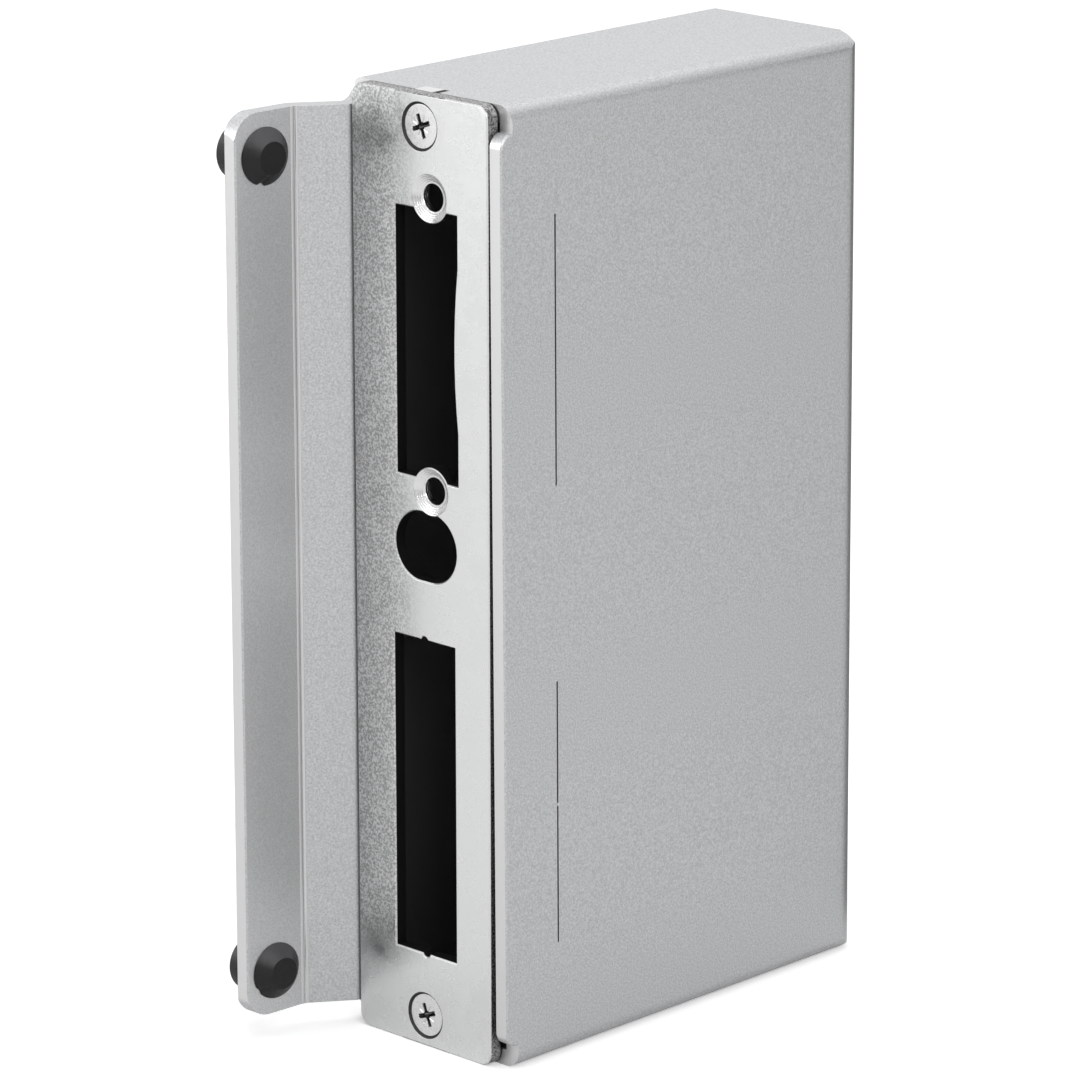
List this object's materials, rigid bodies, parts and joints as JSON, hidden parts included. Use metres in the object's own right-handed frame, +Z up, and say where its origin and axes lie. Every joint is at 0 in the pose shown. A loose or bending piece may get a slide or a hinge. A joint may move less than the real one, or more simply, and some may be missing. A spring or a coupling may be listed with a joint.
{
  "type": "door strike box with stop flange",
  "caption": "Weld-in sheet steel strike box with a slotted strike plate, a joggled stop flange and rubber buffers.",
  "frame": {"origin": "middle of the case's bottom face", "axes": "+Z up along the strike plate, -Y out of the strike plate's face, +X away from the stop flange"},
  "size_m": [0.0521, 0.1149, 0.1725],
  "materials": {
    "case_steel": "blasted and zinc coated, matt grey",
    "plate_steel": "zinc coated, satin, slightly mottled",
    "screw_steel": "bright zinc plated",
    "buffer_rubber": "matt black"
  },
  "bodies": {
    "root": {"case_tray": "case_steel", "side_plate": "case_steel", "strike_plate": "plate_steel", "plate_lug_top": "case_steel", "plate_lug_bottom": "case_steel", "plate_screw_top": "screw_steel", "plate_screw_bottom": "screw_steel", "buffer_top": "buffer_rubber", "buffer_bottom": "buffer_rubber"}
  },
  "joints": []
}
